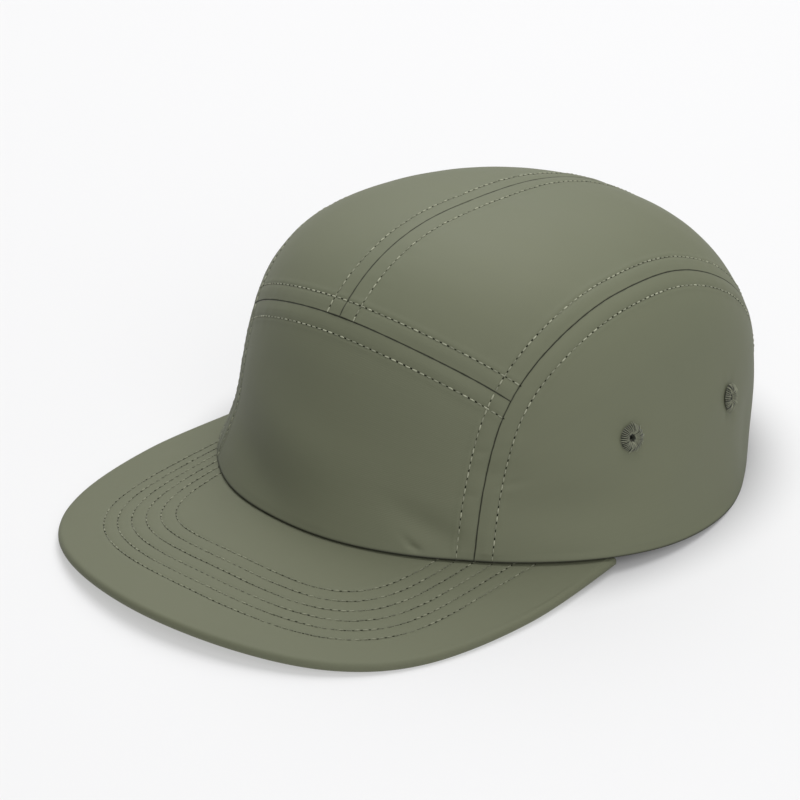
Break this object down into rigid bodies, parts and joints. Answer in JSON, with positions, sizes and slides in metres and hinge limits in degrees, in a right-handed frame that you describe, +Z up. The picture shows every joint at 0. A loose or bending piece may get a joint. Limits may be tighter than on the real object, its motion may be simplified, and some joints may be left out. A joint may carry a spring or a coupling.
{
  "type": "five panel cap",
  "caption": "Soft cloth cap with a low front panel, a flat stitched brim, vent holes at the sides and a strap at the back.",
  "frame": {"origin": "middle of the cap's footprint, on the surface that it rests on", "axes": "+Z up, -Y toward the front of the brim, +X toward the wearer's left"},
  "size_m": [0.179, 0.2598, 0.0962],
  "materials": {
    "crown_cloth": "smooth tight weave, olive grey, slight sheen",
    "brim_cloth": "smooth tight weave over a stiff core",
    "thread": "embroidered thread",
    "webbing": "plain woven webbing",
    "slide_plastic": "matte"
  },
  "bodies": {
    "root": {"front_panel": "crown_cloth", "top_panel_left": "crown_cloth", "top_panel_right": "crown_cloth", "side_panel_left": "crown_cloth", "side_panel_right": "crown_cloth", "brim": "brim_cloth", "eyelet_left_front": "thread", "eyelet_left_rear": "thread", "eyelet_right_front": "thread", "eyelet_right_rear": "thread", "back_strap": "webbing", "strap_slide": "slide_plastic"}
  },
  "joints": []
}
